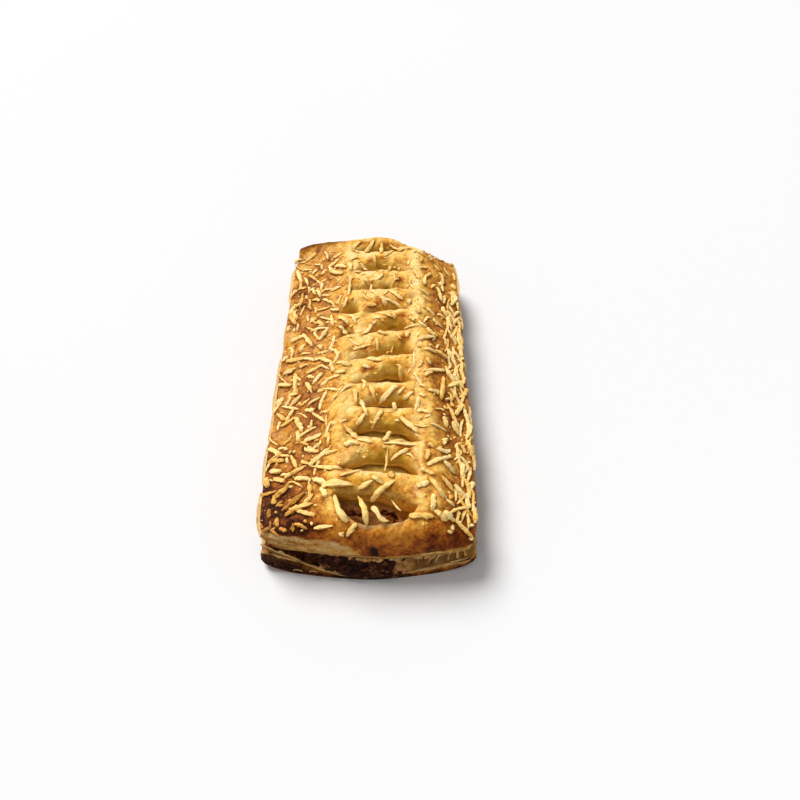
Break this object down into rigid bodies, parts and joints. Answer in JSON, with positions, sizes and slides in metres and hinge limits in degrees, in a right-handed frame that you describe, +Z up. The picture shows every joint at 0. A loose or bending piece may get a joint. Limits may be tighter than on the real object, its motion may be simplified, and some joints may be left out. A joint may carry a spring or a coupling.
{
  "type": "cheese pastry",
  "caption": "Oblong puff pastry slab with a slit top sheet, a soft cheese filling open at both ends, and grated cheese baked on top.",
  "frame": {"origin": "middle of the flat underside, at the bottom centre of the whole slab", "axes": "+Z up, +Y along the slab from the open burnt end to the other end, +X across to the right seen from the open end"},
  "size_m": [0.077, 0.1549, 0.0262],
  "materials": {
    "browned_crust": "dark baked puff pastry, dry and flaky",
    "cheese_filling": "soft baked cheese, slightly moist, burnt at the ends",
    "golden_crust": "golden egg-washed puff pastry, satin, with grated cheese baked on"
  },
  "bodies": {
    "root": {"bottom_sheet": "browned_crust", "filling": "cheese_filling", "top_sheet": "golden_crust"}
  },
  "joints": []
}
